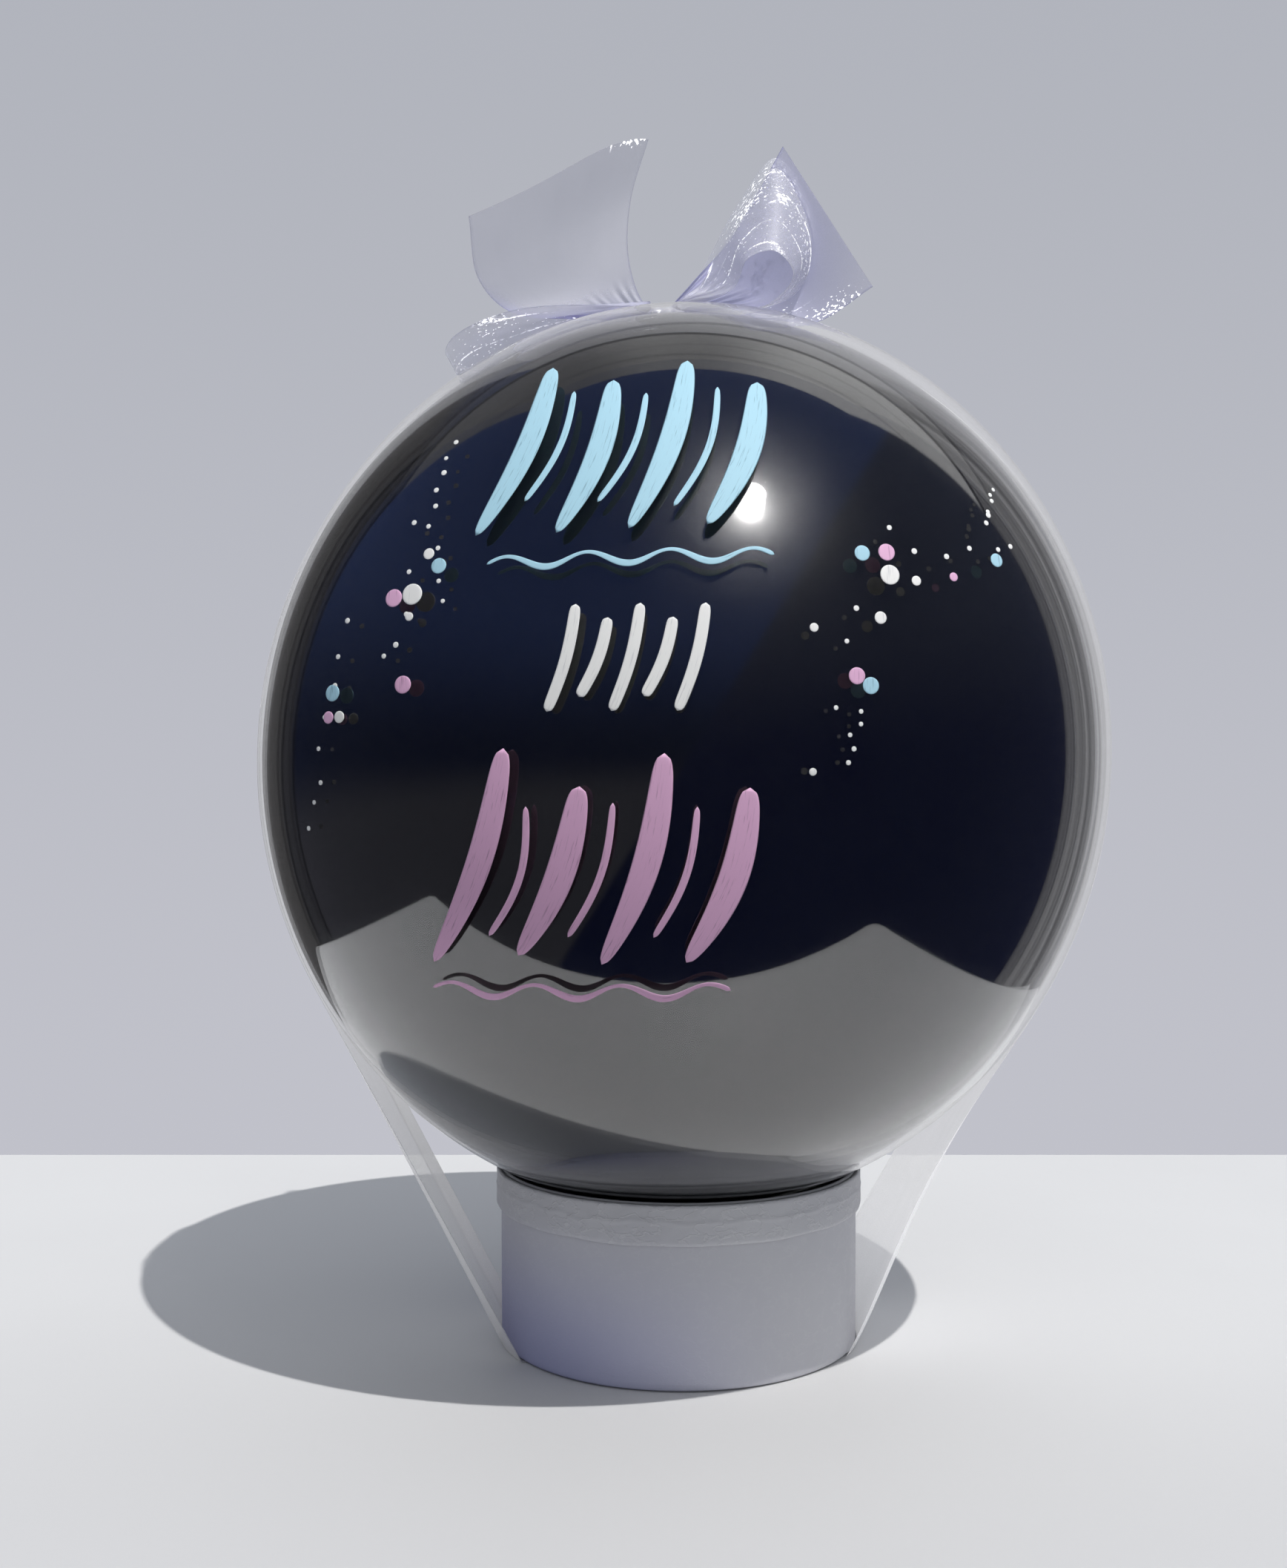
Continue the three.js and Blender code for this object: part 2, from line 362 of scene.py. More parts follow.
# %% Strokes and dots
def stroke(foot, head, bow, widest, at_foot=0.9, at_head=0.9, steps=44):
    """A line from foot to head that bows sideways by a sine. It is widest a little above its middle,
    narrows to a share of that at its foot and another at its head, and closes round at both."""
    t = np.linspace(0, 1, steps)
    foot, head = np.array(foot, float), np.array(head, float)
    reach = head - foot
    side = np.array([-reach[1], reach[0]]) / np.linalg.norm(reach)
    line = foot + reach * t[:, None] + side * (bow * np.sin(math.pi * t))[:, None]
    share = at_foot + (at_head - at_foot) * t
    swell = share + (1 - share) * np.sin(math.pi * t ** 1.2) ** 0.7
    return line, widest * swell * np.sqrt(np.clip(1 - np.abs(2 * t - 1) ** 16, 1e-4, 1))


def dot(x, z, size, steps=12):
    """A round spot: a short upright mark whose width follows a half circle."""
    t = np.cos(np.linspace(math.pi, 0, steps))
    line = np.stack([np.full(steps, float(x)), z + t * size / 2], -1)
    return line, size * np.sqrt(np.clip(1 - t ** 2, 1e-4, 1))


def wave_line(start, end, height, waves, width, steps=120):
    """A thin line from start to end that rises and falls by a sine, thinner on the way up."""
    t = np.linspace(0, 1, steps)
    line = np.array(start) + (np.array(end) - np.array(start)) * t[:, None]
    line[:, 1] += height * np.sin(2 * math.pi * waves * t)
    swell = 0.75 + 0.25 * np.cos(2 * math.pi * waves * t + 2.0)
    return line, width * swell * np.sqrt(np.clip(1 - np.abs(2 * t - 1) ** 40, 1e-4, 1))


# %% [markdown]
# The three rows are slanted dabs of a broad pen, thick and thin by turns. All of them bow the same
# way and none meet, so they are marks only, in the places of the rows on the real balloon. A hand
# never repeats itself exactly, so each dab differs a little in width, slant and length.

# %% Rows of strokes
def dab_row(left, right, low, high, count, widest, slant, rng):
    """Thick slanted dabs with a thin shorter one in each gap; every second thick one is lower."""
    marks = []
    for k in range(2 * count - 1):
        thin = k % 2
        x = left + (right - left) * k / (2 * count - 2)
        foot = low + (high - low) * (0.06 * rng.random() + 0.14 * thin)
        head = high - (high - low) * (0.15 * (k % 4 == 2) + 0.06 * rng.random() + 0.22 * thin)
        lean = (slant + rng.uniform(-0.05, 0.05)) * (head - foot) / 2
        wide = widest * (0.26 if thin else rng.uniform(0.88, 1.06))
        ends = (0.8, 0.8) if thin else (0.34, 0.56)
        marks.append(stroke((x - lean, foot), (x + lean, head), rng.uniform(-6.5, -4.5), wide, *ends))
    return marks


ROW_SLANT = 0.34
rng = np.random.default_rng(7)
painted = {
    "blue": dab_row(-76, 20, 399, 492, 4, 12.0, ROW_SLANT, rng),
    "pink": dab_row(-94, 12, 217, 311, 4, 12.5, ROW_SLANT, rng),
    "white": [stroke((x - 5, 325 + 6 * (k % 2)), (x + 7, 370 - 6 * (k % 2)), -2.0, 5.2)
              for k, x in enumerate(np.linspace(-54, 0, 5))],
}
painted["blue"].append(wave_line((-86, 389), (36, 391), 2.8, 3.5, 3.0))
painted["pink"].append(wave_line((-112, 205), (18, 208), 3.0, 3.5, 3.2))
print("strokes:", {colour: len(row) for colour, row in painted.items()})

# %% [markdown]
# The dots are a loose confetti in two sprays, each with a few large spots and many small ones
# that trail away from them.

# %% Confetti dots
LARGE_DOTS = {
    "blue": ((-108, 390, 7.1), (-159, 336, 7.6), (74, 393, 6.9), (139, 395, 6.4), (76, 336, 7.2)),
    "pink": ((-129, 377, 8.2), (-123, 338, 7.8), (-161, 325, 5.6), (85, 394, 7.6),
             (116, 385, 4.0), (70, 340, 7.2)),
    "white": ((-113, 396, 5.2), (-120, 378, 9.6), (-121, 368, 3.9), (-155, 325, 5.4),
              (86, 384, 8.8), (98, 382, 4.4), (81, 365, 5.4), (52, 360, 3.8), (51, 300, 3.2)),
}
TRAILS = (((-104, 452), (-122, 424), (-104, 372), 9), ((-123, 412), (-120, 362), (-131, 349), 5),
          ((-153, 368), (-164, 312), (-171, 274), 8), ((85, 405), (106, 387), (123, 399), 4),
          ((136, 411), (141, 421), (142, 430), 6), ((149, 401), (140, 408), (139, 402), 2),
          ((70, 368), (68, 358), (61, 326), 3), ((72, 324), (68, 314), (66, 302), 5))
SMALL_DOT = 2.4


def trail(start, middle, end, count, rng):
    """Small dots along a bent line, each moved off it a little."""
    t = np.linspace(0, 1, count)[:, None]
    start, middle, end = (np.array(p, float) for p in (start, middle, end))
    line = start * (1 - t) ** 2 + 2 * middle * t * (1 - t) + end * t ** 2
    line += rng.uniform(-2.2, 2.2, line.shape)
    return [dot(x, z, SMALL_DOT * (0.8 + 0.35 * rng.random())) for x, z in line]


for colour, large in LARGE_DOTS.items():
    painted[colour] += [dot(*spot) for spot in large]
for start, middle, end, count in TRAILS:
    painted["white"] += trail(start, middle, end, count, rng)
print("strokes and dots:", {colour: len(row) for colour, row in painted.items()})


# %% Paint finish and pieces
def pen_paint(name, colour, shade):
    """Opaque satin paint: fine dark streaks along the stroke, where the pen left little."""
    material, wire, shader = new_material(name, IOR=1.45)
    streaks = flat_place(wire).stretched((70.0, 1300.0, 1.0)).noise(1.0, 3.0, 0.6)
    thin = streaks.ramp(0.56, 0.72)
    feed(shader, Base_Color=thin.tint(colour, shade), Roughness=0.5 + 0.25 * streaks,
         Normal=bumped(streaks, 0.00004, 0.4))
    return material


def paint_piece(name, marks, material, slot):
    """All marks of one colour as one piece, each a closed tube of its own."""
    points, faces, uv, start = [], [], [], 0
    for seed, (line, width) in enumerate(marks):
        rings = paint_mark(line, width)
        flat = mark_uv(line, width, seed) * MM
        points.append(closed_tube(rings))
        uv.append(np.concatenate([flat.reshape(-1, 2), flat[[0, -1]].mean(1)]))
        faces += tube_faces(*rings.shape[:2], start=start)
        start += len(points[-1])
    return make_piece(name, np.concatenate(points), faces, material, np.concatenate(uv))


PAINTS = {
    "blue": pen_paint("paint_pale_blue", rgb(0.42, 0.69, 0.83), rgb(0.20, 0.36, 0.46)),
    "pink": pen_paint("paint_soft_pink", rgb(0.80, 0.47, 0.70), rgb(0.48, 0.26, 0.42)),
    "white": pen_paint("paint_white", rgb(0.90, 0.90, 0.89), rgb(0.66, 0.66, 0.68)),
}
for colour, paint in PAINTS.items():
    paint_piece("paint_row_" + colour, painted[colour], paint, "paint_" + colour)


# %% [markdown]
# ## The gift box
# The box is a cup of board, covered with pale lavender paper that overlaps itself in one upright
# seam at the right. Turning a profile makes the cup, and a sum of cosines around and up the wall
# makes the slight waviness of hand-laid paper; whole numbers of waves around keep the seam shut.

# %% Turned shapes and paper waviness
def turned(profile, columns):
    """Each profile point of radius r and height z becomes a ring of radius r at height z."""
    around = full_turn(columns)[None]
    r, z = profile[:, :1], profile[:, 1:]
    return np.stack([r * np.cos(around), r * np.sin(around), z + 0 * around], -1)


def waviness(around, height, waves, rng, around_most, height_scale):
    """A sum of cosines with a whole number of waves around and any number up the height, scaled to
    run from about -1 to 1."""
    total = 0
    for _ in range(waves):
        turns = rng.integers(2, around_most)
        rise = rng.normal(0, 1 / height_scale)
        total = total + np.cos(turns * around + rise * height + rng.uniform(0, 2 * math.pi))
    return total / math.sqrt(waves)


def path_points(corners, spacing):
    """Points at about one spacing along straight runs between corners."""
    runs = []
    for a, b in zip(corners[:-1], corners[1:]):
        steps = max(1, int(np.hypot(b[0] - a[0], b[1] - a[1]) / spacing))
        runs.append(np.linspace(a, b, steps, endpoint=False))
    return np.concatenate(runs + [np.array(corners[-1:], float)])


def pushed_out(points, amount):
    """Points moved away from the upright axis."""
    radius = np.linalg.norm(points[..., :2], axis=-1, keepdims=True)
    moved = points.copy()
    moved[..., :2] *= 1 + amount[..., None] / np.maximum(radius, 1e-6)
    return moved


# %% Paper finish
FOOT_SHADE_TONE = rgb(0.36, 0.37, 0.56)


def covering_paper(name, pale, dull, crease_depth):
    """Satin paper: fine fibres, faint clouds, creases whose crests are a little paler, and painted
    shade:
    a deeper, bluer lavender towards the foot at the left."""
    material, wire, shader = new_material(name, IOR=1.4, Specular_IOR_Level=0.35)
    place = object_place(wire)
    x, z = (place.part(axis) for axis in "XZ")
    fibre = place.stretched((1.0, 1.0, 3.0)).noise(900.0, 3.0)
    cloud = place.noise(14.0, 3.0, 0.5)
    crease = 1 - 2 * wire.maths("ABSOLUTE", place.stretched((1, 1, 1.6)).noise(95.0, 4.0, 0.5) - 0.5)
    crest = crease.ramp(0.92, 1.0)
    paper = (0.7 * cloud + 0.15 * crest + 0.15 * fibre).ramp(0.2, 0.8).tint(dull, pale)
    # Painted shade: the paper is darker and bluer towards the foot at the left, where the box lies in
    # shade.
    foot = z.ramp(0.09, 0.0) * x.ramp(0.07, -0.08)
    feed(shader, Base_Color=foot.tint(paper, FOOT_SHADE_TONE),
         Roughness=0.60 - 0.12 * crest + 0.1 * fibre,
         Normal=bumped(crest + 0.15 * fibre, crease_depth, 0.5))
    return material


box_paper = covering_paper("lavender_paper", rgb(0.56, 0.56, 0.59), rgb(0.52, 0.52, 0.56), 0.00005)
band_paper = covering_paper("rim_paper", rgb(0.60, 0.60, 0.625), rgb(0.50, 0.50, 0.535), 0.0003)
print("papers:", box_paper.name, band_paper.name)

# %% Box
BOX_FOOT = 0.6
BOX_COLUMNS = 288
SEAM_AT = math.radians(-24)
SEAM_STEP = 0.5
SEAM_FADE = 0.12
PAPER_WAVE = 0.16
PAPER_SINK = 0.2
rng = np.random.default_rng(11)

cup_corners = [(6, BOX_FOOT), (BOX_RADIUS - 1.6, BOX_FOOT), (BOX_RADIUS - 0.5, BOX_FOOT + 0.5),
               (BOX_RADIUS, BOX_FOOT + 1.6), (BOX_RADIUS, BOX_TOP - 1.0),
               (BOX_RADIUS - 0.4, BOX_TOP - 0.2), (BOX_RADIUS - 1.2, BOX_TOP),
               (REST_RADIUS + 0.4, BOX_TOP - 0.2), (REST_RADIUS, BOX_TOP - 1.0),
               (REST_RADIUS, 5.0), (REST_RADIUS - 1.0, 3.6), (6, 3.6)]
cup = turned(path_points(cup_corners, 2.2), BOX_COLUMNS)
cup_around = np.arctan2(cup[..., 1], cup[..., 0])
outside = (np.linalg.norm(cup[..., :2], axis=-1) > BOX_RADIUS - 1) * 1.0
past_seam = (cup_around - SEAM_AT) % (2 * math.pi)
overlap = SEAM_STEP * np.exp(-past_seam / SEAM_FADE) * (past_seam < 1)
wavy = PAPER_WAVE * waviness(cup_around, cup[..., 2], 9, rng, around_most=9, height_scale=30.0)
cup = pushed_out(cup, outside * (wavy + overlap - PAPER_SINK))
box = make_piece("gift_box_paper", closed_tube(cup), tube_faces(*cup.shape[:2]), box_paper)
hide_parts("gift_box")

# %% [markdown]
# The collar round the mouth is the same paper glued over a strip of board. Glue and hand pressure
# left it crumpled: it has sharper ridges, one uneven fold that runs right round it a little below
# the mouth, and a lower edge that isn't quite level.

# %% Rim band
BAND_INNER = BOX_RADIUS + GAP
BAND_TOP = BOX_TOP - 0.6
BAND_LOW = BAND_TOP - BAND_HEIGHT
BAND_OUTER = BAND_INNER + BAND_BOARD
BAND_COLUMNS = 432
band_corners = [(BAND_INNER, BAND_LOW + 0.3), (BAND_OUTER - 1.4, BAND_LOW),
                (BAND_OUTER - 0.5, BAND_LOW + 0.4), (BAND_OUTER - 0.1, BAND_LOW + 1.4),
                (BAND_OUTER, BAND_LOW + 2.2), (BAND_OUTER, BAND_TOP - 1.0),
                (BAND_OUTER - 0.3, BAND_TOP - 0.3), (BAND_OUTER - 1.0, BAND_TOP),
                (BAND_INNER + 0.2, BAND_TOP), (BAND_INNER, BAND_TOP - 0.3),
                (BAND_INNER, BAND_LOW + 0.3)]
band_rings = turned(path_points(band_corners, 0.8)[:-1], BAND_COLUMNS)
band_around = np.arctan2(band_rings[..., 1], band_rings[..., 0])
out_share = np.clip((np.linalg.norm(band_rings[..., :2], axis=-1) - BAND_INNER) / BAND_BOARD, 0, 1)
print("rings of the rim band:", len(band_rings))

# %% Creases of the rim band
RIDGE_DEPTH, DENT_DEPTH, FOLD_DEPTH, FOLD_STEP = 0.16, 0.12, 0.22, 0.15
FOLD_BELOW_TOP = 8.5
FOLD_WANDER = 0.9
EDGE_WANDER = 0.45
ridges = 1 - np.abs(waviness(band_around, band_rings[..., 2], 16, rng, around_most=70, height_scale=3.0))
dents = waviness(band_around, band_rings[..., 2], 10, rng, around_most=24, height_scale=9.0)
fold_wave = waviness(band_around, 0, 6, rng, around_most=34, height_scale=1.0)
fold_at = BAND_TOP - FOLD_BELOW_TOP + FOLD_WANDER * fold_wave
fold = np.exp(-(band_rings[..., 2] - fold_at) ** 2)
above_fold = np.clip((band_rings[..., 2] - fold_at) / 2, 0, 1)
relief = RIDGE_DEPTH * np.maximum(ridges, -1) + DENT_DEPTH * dents + FOLD_DEPTH * fold
relief = relief - FOLD_STEP * above_fold - PAPER_SINK
band_rings = pushed_out(band_rings, out_share * relief)
low_share = np.clip((BAND_LOW + 3 - band_rings[..., 2]) / 3, 0, 1)
edge_wave = waviness(band_around, 0, 7, rng, around_most=16, height_scale=1.0)
band_rings[..., 2] += EDGE_WANDER * low_share * edge_wave
band = make_piece("rim_band_paper", band_rings,
                  grid_faces(*band_rings.shape[:2], round_rows=True, round_columns=True),
                  band_paper)
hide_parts("box_rim_band")

# %% [markdown]
# ## The organza ribbon
# Organza is a sheer, stiff weave of shiny yarn. A single layer is a smooth veil over what is behind
# it, denser and deeper in colour where it is gathered and at its woven edges. Light also comes
# through it from the far side, which plain transmission with a rough surface gives. Where the cloth
# bends, small white glints are painted on it as painted highlights that glow: beads along a few
# uneven lines, and a dust of single sparks. A taut strap also glows softly by itself, as painted
# light for the light that its yarn carries along. The finish reads the ribbon's own flat map, with
# its length along one axis, and three marks on the mesh: how dense the cloth is, how much painted
# glint it has, and how much painted glow.

# %% Organza finish
# Strength of the emission that makes the painted glints and the strap's painted glow shine.
GLINT_GLOW = 0.5


def organza(name, tone, deep, veil, through):
    """The veil's cover is its own value plus the cover mark; through is the share of light that the
    yarn itself lets through. Glints are painted highlights: white, opaque and glowing. The lines of
    beads are where a sum of the place across and a soft noise passes whole numbers; the sparks are
    where a fine noise is high. The painted glow mark makes the cloth itself glow, as painted light."""
    material, wire, shader = new_material(
        name, IOR=1.5, Specular_IOR_Level=0.3, Transmission_Weight=through, Emission_Strength=GLINT_GLOW)
    flat = flat_place(wire)
    cover, zone, painted_glow = (wire.node("ShaderNodeAttribute", {"attribute_name": mark}, out="Fac")
                        for mark in ("cover", "glint", "painted_glow"))
    yarn = flat.noise(1100.0, 2.0)
    cloud = flat.stretched((12.0, 45.0, 1.0)).noise(1.0, 3.0, 0.5)
    across = flat.part("Y")
    sway = flat.stretched((8.0, 24.0, 1.0)).noise(1.0, 2.0)
    lane = wire.maths("FRACT", 40.0 * across + 3.0 * sway)
    line = lane.ramp(0.43, 0.5) * lane.ramp(0.57, 0.5)
    grain = flat.stretched((430.0, 560.0, 1.0)).noise(1.0, 1.0)
    patch = flat.stretched((18.0, 36.0, 1.0)).noise(1.0, 1.0)
    beads = line * grain.ramp(0.46, 0.53) * patch.ramp(0.38, 0.50)
    painted_sparks = (grain + 0.25 * patch + 0.16 * zone).ramp(0.88, 0.91)
    glint = zone.ramp(0.0, 0.35) * wire.maths("MAXIMUM", beads, painted_sparks)
    veil_cover = veil + cover + 0.10 * (cloud - 0.5) + 0.08 * (yarn - 0.5)
    cloth = cover.ramp(0.02, 0.35).tint(tone, deep)
    colour = glint.tint(cloth, rgb(1, 1, 1))
    feed(shader, Base_Color=colour, Alpha=wire.maths("MINIMUM", veil_cover + glint, 1.0),
         Emission_Color=wire.maths("MAXIMUM", glint, painted_glow).tint(rgb(0, 0, 0), rgb(1, 1, 1)),
         Roughness=0.60 - 0.25 * glint, Normal=bumped(yarn, 0.0003, 0.4))
    return material


strap_finish = organza("organza_strap", rgb(0.55, 0.55, 0.58), rgb(0.50, 0.50, 0.56), 0.44, 0.1)
tail_finish = organza("organza_tail", rgb(0.46, 0.46, 0.57), rgb(0.36, 0.36, 0.62), 0.24, 0.55)
# The loops' finish is paler than the tails': painted light for loops whose undersides face away from the
# lamps.
lightened_loop_finish = organza("organza_loop", rgb(0.80, 0.80, 0.88), rgb(0.62, 0.62, 0.81), 0.24, 0.55)
print("organza finishes:", strap_finish.name, tail_finish.name, lightened_loop_finish.name)

# %% Cloth helpers
ORGANZA_THICK = 0.2
EDGE_COVER = 0.12
EDGE_REACH = 1.2
FULL_PLEATS = 0.43


def as_cloth(piece):
    """Gives a one-sided sheet its thickness."""
    wall = piece.modifiers.new("thickness", "SOLIDIFY")
    wall.thickness = ORGANZA_THICK * MM
    wall.offset = 0.0


def smooth_rise(low, high, value):
    """0 below low, 1 above high, and 3t squared minus 2t cubed between."""
    t = np.clip((value - low) / (high - low), 0, 1)
    return t * t * (3 - 2 * t)


def surface_normals(grid):
    """Unit cross products of the grid's two directions."""
    normal = np.cross(np.gradient(grid, axis=0), np.gradient(grid, axis=1))
    return normal / np.maximum(np.linalg.norm(normal, axis=-1, keepdims=True), 1e-9)


def flat_lengths(grid, width):
    """Length along the ribbon's middle line and place across its flat width, in metres."""
    middle = grid[:, grid.shape[1] // 2]
    length = np.concatenate([[0], np.cumsum(np.linalg.norm(np.diff(middle, axis=0), axis=1))])
    across = np.linspace(0, width, grid.shape[1])
    return np.stack(np.broadcast_arrays(length[:, None], across[None]), -1) * MM


def gather_depth(grid, width, count, smooth_from):
    """Depth of pleats that take up the width that is drawn together: a zigzag of so many pleats over
    a span s is as long as the width w if its depth is the root of w squared minus s squared, over
    four times the count. Stiff cloth shakes its pleats out, so they fade towards a wider span."""
    span = np.linalg.norm(grid[:, -1] - grid[:, 0], axis=1)[:, None]
    full = np.sqrt(np.maximum(width ** 2 - span ** 2, 0)) / (4 * count)
    return full * smooth_rise(smooth_from, FULL_PLEATS * smooth_from, span)


def cover_mark(grid, width, gathered):
    """A little more cover on the two woven edges, and more where the span is short of the width."""
    inward = width / 2 - np.abs(np.linspace(-width / 2, width / 2, grid.shape[1]))
    span = np.linalg.norm(grid[:, -1] - grid[:, 0], axis=1)[:, None]
    edges = EDGE_COVER * np.exp(-(inward / EDGE_REACH) ** 2)[None]
    return edges + gathered * np.maximum(1 - span / width, 0)


# %% [markdown]
# The strap starts under the knot, runs down the balloon's left side until it leaves it in a
# tangent, goes straight to the foot of the box, under it, and up the right side in the same way.
# Towards the knot it is drawn together from 100 mm to 30 mm, which throws it into small pleats. On
# the left its far edge is folded back over the rest, and on the right its near edge hangs slack.

# %% Strap line
RIBBON_WIDTH = 100.0
STRAP_LIFT = 0.7
STRAP_FOOT = 0.4
STRAP_MIDDLE = {-1: -1.0, 1: 8.0}
KNOT = np.array([-7.0, 26.0, 553.6])
GATHERED_HALF = 15.0
STRAP_TOP = math.pi / 2 + 0.03
NEAR_SLACK = {-1: 0.0, 1: 8.0}
LEFT_FOLD = 0.70
FOLD_LIFT = 0.5
FOLD_FADE_ROWS = 25


def on_balloon(angle, y, lift):
    """Point of the egg's upright section at depth y, at an angle up from the right."""
    width, height = HALF_WIDTH + lift, HALF_HEIGHT + lift
    share = np.sqrt(1 - (y / width) ** 2)
    rise = height * share * np.sin(angle)
    x = MIDDLE_X + LEAN * rise + width * share * np.cos(angle)
    return np.stack(np.broadcast_arrays(x, y, MIDDLE_Z + rise), -1)


def strap_side(side, across, arc_share, span_share):
    """From the knot over the balloon to the point where the straight run touches it, then along
    that run to the foot of the box. The touching angle comes from the foot's place in the egg's
    unit circle: its own angle, turned by the arc cosine of one over its distance. A slack edge
    bends inwards by a square of the shares gone and left along the run, and the 8 makes the
    near edge's deepest bend the slack itself."""
    y = STRAP_MIDDLE[side] + across * RIBBON_WIDTH / 2
    reach = BOX_RADIUS + 2 * GAP
    foot = np.stack([side * np.sqrt(reach ** 2 - y ** 2), y, np.full_like(y, STRAP_FOOT)], -1)
    width, height = HALF_WIDTH + STRAP_LIFT, HALF_HEIGHT + STRAP_LIFT
    share = np.sqrt(1 - (y / width) ** 2)
    drop = foot[:, 2] - MIDDLE_Z
    u = (foot[:, 0] - MIDDLE_X - LEAN * drop) / (width * share)
    v = drop / (height * share)
    touch = np.arctan2(v, u) + side * np.arccos(1 / np.hypot(u, v))
    touch = touch if side > 0 else touch + 2 * math.pi
    t = arc_share[:, None]
    angle = STRAP_TOP + (touch - STRAP_TOP)[None] * t
    to_knot = smooth_rise(0, 1, 1 - t)
    depth = y[None] + (KNOT[1] + across[None] * GATHERED_HALF - y[None]) * to_knot
    arc = on_balloon(angle, depth, STRAP_LIFT)
    gone = span_share[1:, None]
    run = arc[-1][None] + (foot - arc[-1])[None] * gone[..., None]
    run[..., 0] -= side * NEAR_SLACK[side] * 8 * (1 - across)[None] * (gone * (1 - gone)) ** 2
    return np.concatenate([arc, run])


# %% Strap grid
across = np.linspace(-1, 1, 57)
arc_share = np.linspace(0, 1, 150)
span_share = 1 - (1 - np.linspace(0, 1, 64)) ** 1.5
under_share = smooth_rise(0, 1, np.linspace(0, 1, 40))[1:-1, None, None]


def whole_strap(left_across, right_across):
    """Left side, run under the box and right side, for places across from -1 to 1 on each side."""
    left = strap_side(-1, left_across, arc_share, span_share)
    right = strap_side(1, right_across, arc_share, span_share)
    under = left[-1][None] * (1 - under_share) + right[-1][None] * under_share
    return np.concatenate([left, under, right[::-1]])


flat_grid = whole_strap(across, across)
strap_grid = whole_strap(np.minimum(across, 2 * LEFT_FOLD - across), across)
side_rows = len(arc_share) + len(span_share) - 1
near_foot = smooth_rise(side_rows - 1, side_rows - FOLD_FADE_ROWS, np.arange(side_rows))[:, None]
fold_lift = np.zeros(flat_grid.shape[:2])
fold_lift[:side_rows] = near_foot * smooth_rise(LEFT_FOLD, LEFT_FOLD + 0.08, across)[None]
print("strap grid:", flat_grid.shape[:2])

# %% Strap pleats
STRAP_PLEATS = 8
STRAP_SMOOTH_FROM = 140.0
PLEAT_SHARE = 0.6
rng = np.random.default_rng(23)
pleat_wave = sum(np.cos(2 * math.pi * (STRAP_PLEATS * f * (across + 1) / 2 + p))
                 for f, p in zip((0.6, 1.0, 1.4), rng.random(3))) / 3
pleats = PLEAT_SHARE * gather_depth(flat_grid, RIBBON_WIDTH, STRAP_PLEATS, STRAP_SMOOTH_FROM)
outward = -surface_normals(flat_grid)
strap_grid = strap_grid + outward * (pleats * (1 + pleat_wave) + FOLD_LIFT * fold_lift)[..., None]
print("deepest pleat of the strap, mm:", round(float(pleats.max()), 2))

# %% [markdown]
# Over the balloon the cloth is at its sheerest. Its painted glow, painted light that stands in for
# the light its yarn carries, is strongest on the two straight runs and fades towards the foot, most
# of all on the shaded left side, where the woven edges get less of it and are dark lines. Painted
# glints sit on the crests of the deeper pleats near the knot.

# %% Strap marks
GLOW_AT_KNOT, GLOW_AT_TOUCH, GLOW_ON_RIGHT = 0.60, 0.85, 1.0
LEFT_GLOW_LOSS, RIGHT_GLOW_LOSS, EDGE_GLOW_LOSS = 0.68, 0.5, 0.8
SHEERER = 0.14
STRAP_GATHER_COVER = 0.2
STRAP_GLINT = 0.9


def both_sides(left, right):
    """A column of values down the left side, zeros under the box, and values up the right side."""
    return np.concatenate([left, np.zeros(len(under_share)), right[::-1]])[:, None]


# Painted glow along the strap: painted light, strongest on the runs, weaker towards the left foot and at
# the left side's edges.
from_touch = span_share[1:]
glow_arc = GLOW_AT_KNOT + (GLOW_AT_TOUCH - GLOW_AT_KNOT) * arc_share ** 6
left_run_glow = GLOW_AT_TOUCH - LEFT_GLOW_LOSS * from_touch
right_run_glow = GLOW_AT_TOUCH + (GLOW_ON_RIGHT - GLOW_AT_TOUCH) * smooth_rise(0, 0.3, from_touch)
right_run_glow = right_run_glow - RIGHT_GLOW_LOSS * from_touch ** 4
strap_painted_glow = both_sides(np.append(glow_arc, left_run_glow), np.append(glow_arc, right_run_glow)) + 0 * across
strap_painted_glow[:side_rows] *= 1 - EDGE_GLOW_LOSS * smooth_rise(0.95, 1, np.abs(across))[None]
sheer = np.append(np.ones(len(arc_share)), smooth_rise(0.3, 0, from_touch))
strap_cover = cover_mark(flat_grid, RIBBON_WIDTH, STRAP_GATHER_COVER)
strap_cover = strap_cover - SHEERER * both_sides(sheer, sheer)
strap_glint = STRAP_GLINT * smooth_rise(1.5, 2.6, pleats) * smooth_rise(-0.2, 0.6, pleat_wave)[None]
strap_marks = {"cover": strap_cover, "glint": strap_glint, "painted_glow": strap_painted_glow}
print("cover of the strap:", strap_cover.min().round(2), "to", strap_cover.max().round(2))

# %% Strap
strap_flat = flat_lengths(strap_grid, RIBBON_WIDTH)
strap = make_piece("ribbon_strap_organza", strap_grid, grid_faces(*strap_grid.shape[:2]), strap_finish,
                   strap_flat, strap_marks)
as_cloth(strap)
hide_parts("ribbon_strap")

# %% [markdown]
# The bow has two tails and two loops. Each is a strip between two edge curves that leave the knot
# together and spread to the ribbon's full width; a smooth curve through a few corner points makes
# an edge, and the strip between them is then pleated along its length, most of all at the knot.

